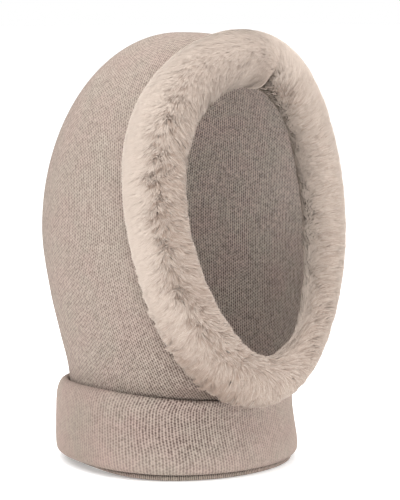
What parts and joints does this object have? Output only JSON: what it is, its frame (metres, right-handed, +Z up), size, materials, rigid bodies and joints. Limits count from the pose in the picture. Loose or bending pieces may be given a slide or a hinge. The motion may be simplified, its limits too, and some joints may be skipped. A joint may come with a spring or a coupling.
{
  "type": "fur-trimmed knitted hood",
  "caption": "Knitted balaclava-style hood with a knit lining, a plush fur roll round the face opening and a turned-up cuff at the neck.",
  "frame": {"origin": "the inside of the crown, where the hood sits on the top of the head", "axes": "+Z up, from the neck to the crown; the face opening looks towards -Y; +X to the wearer's left"},
  "size_m": [0.1959, 0.2153, 0.3138],
  "materials": {
    "shell_knit": "taupe melange stockinette knit, slightly fuzzy",
    "lining_knit": "darker grey-taupe stockinette knit",
    "fur": "dense plush pile, pale beige-taupe",
    "cuff_knit": "taupe melange stockinette knit"
  },
  "bodies": {
    "root": {"hood_shell": "shell_knit", "lining": "lining_knit", "fur_trim": "fur", "cuff_band": "cuff_knit", "hem_roll": "cuff_knit"}
  },
  "joints": []
}
